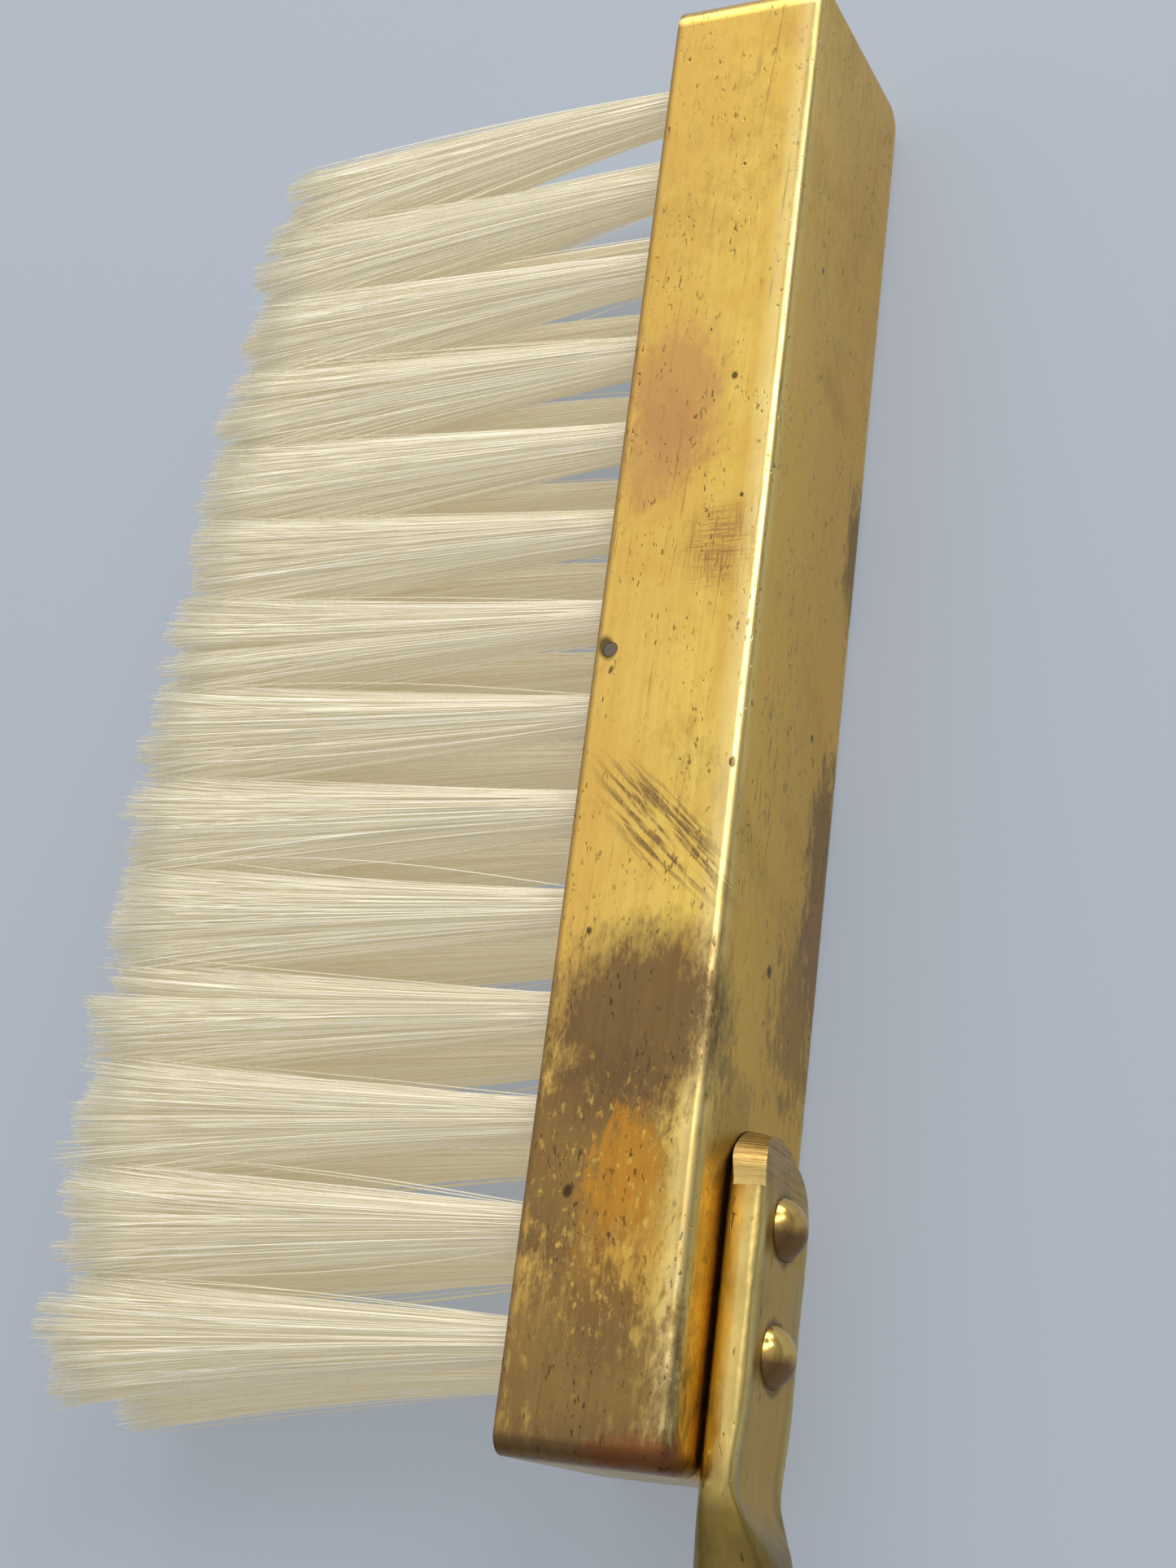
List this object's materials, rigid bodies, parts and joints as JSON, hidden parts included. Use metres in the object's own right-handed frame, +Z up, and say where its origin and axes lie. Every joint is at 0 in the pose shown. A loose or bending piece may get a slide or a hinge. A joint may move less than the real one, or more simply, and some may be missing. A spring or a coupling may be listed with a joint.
{
  "type": "hearth brush",
  "caption": "Brass-cased hearth brush: a long wooden block of pale bristle tufts in a sheet brass cover, on a riveted brass tube handle.",
  "frame": {"origin": "centre of the bounding box's base, on the surface that the brush lies on", "axes": "+Y from the handle's hanging eye to the head's free end, +X from the bristle tips to the head's back, +Z up, out of the upper side of the head as it lies on its side"},
  "size_m": [0.0847, 0.404, 0.0245],
  "materials": {
    "cover_brass": "aged, lightly brushed, with brown tarnish and dark pits",
    "handle_brass": "aged satin",
    "rivet_brass": "worn bright on top, tarnished at the foot",
    "steel_wire": "dull dark wire",
    "block_wood": "unvarnished beech",
    "bristle": "fine cream filament, slight sheen"
  },
  "bodies": {
    "root": {"brass_cover": "cover_brass", "finial": "handle_brass", "finial_pin": "handle_brass", "handle_collar": "handle_brass", "handle_tube": "handle_brass", "lower_rivet": "rivet_brass", "rivet_washers": "rivet_brass", "side_pins": "steel_wire", "tuft_anchors": "steel_wire", "tuft_lower_01": "bristle", "tuft_lower_02": "bristle", "tuft_lower_03": "bristle", "tuft_lower_04": "bristle", "tuft_lower_05": "bristle", "tuft_lower_06": "bristle", "tuft_lower_07": "bristle", "tuft_lower_08": "bristle", "tuft_lower_09": "bristle", "tuft_lower_10": "bristle", "tuft_lower_11": "bristle", "tuft_lower_12": "bristle", "tuft_lower_13": "bristle", "tuft_lower_14": "bristle", "tuft_upper_01": "bristle", "tuft_upper_02": "bristle", "tuft_upper_03": "bristle", "tuft_upper_04": "bristle", "tuft_upper_05": "bristle", "tuft_upper_06": "bristle", "tuft_upper_07": "bristle", "tuft_upper_08": "bristle", "tuft_upper_09": "bristle", "tuft_upper_10": "bristle", "tuft_upper_11": "bristle", "tuft_upper_12": "bristle", "tuft_upper_13": "bristle", "tuft_upper_14": "bristle", "upper_rivet": "rivet_brass", "wood_block": "block_wood"}
  },
  "joints": []
}
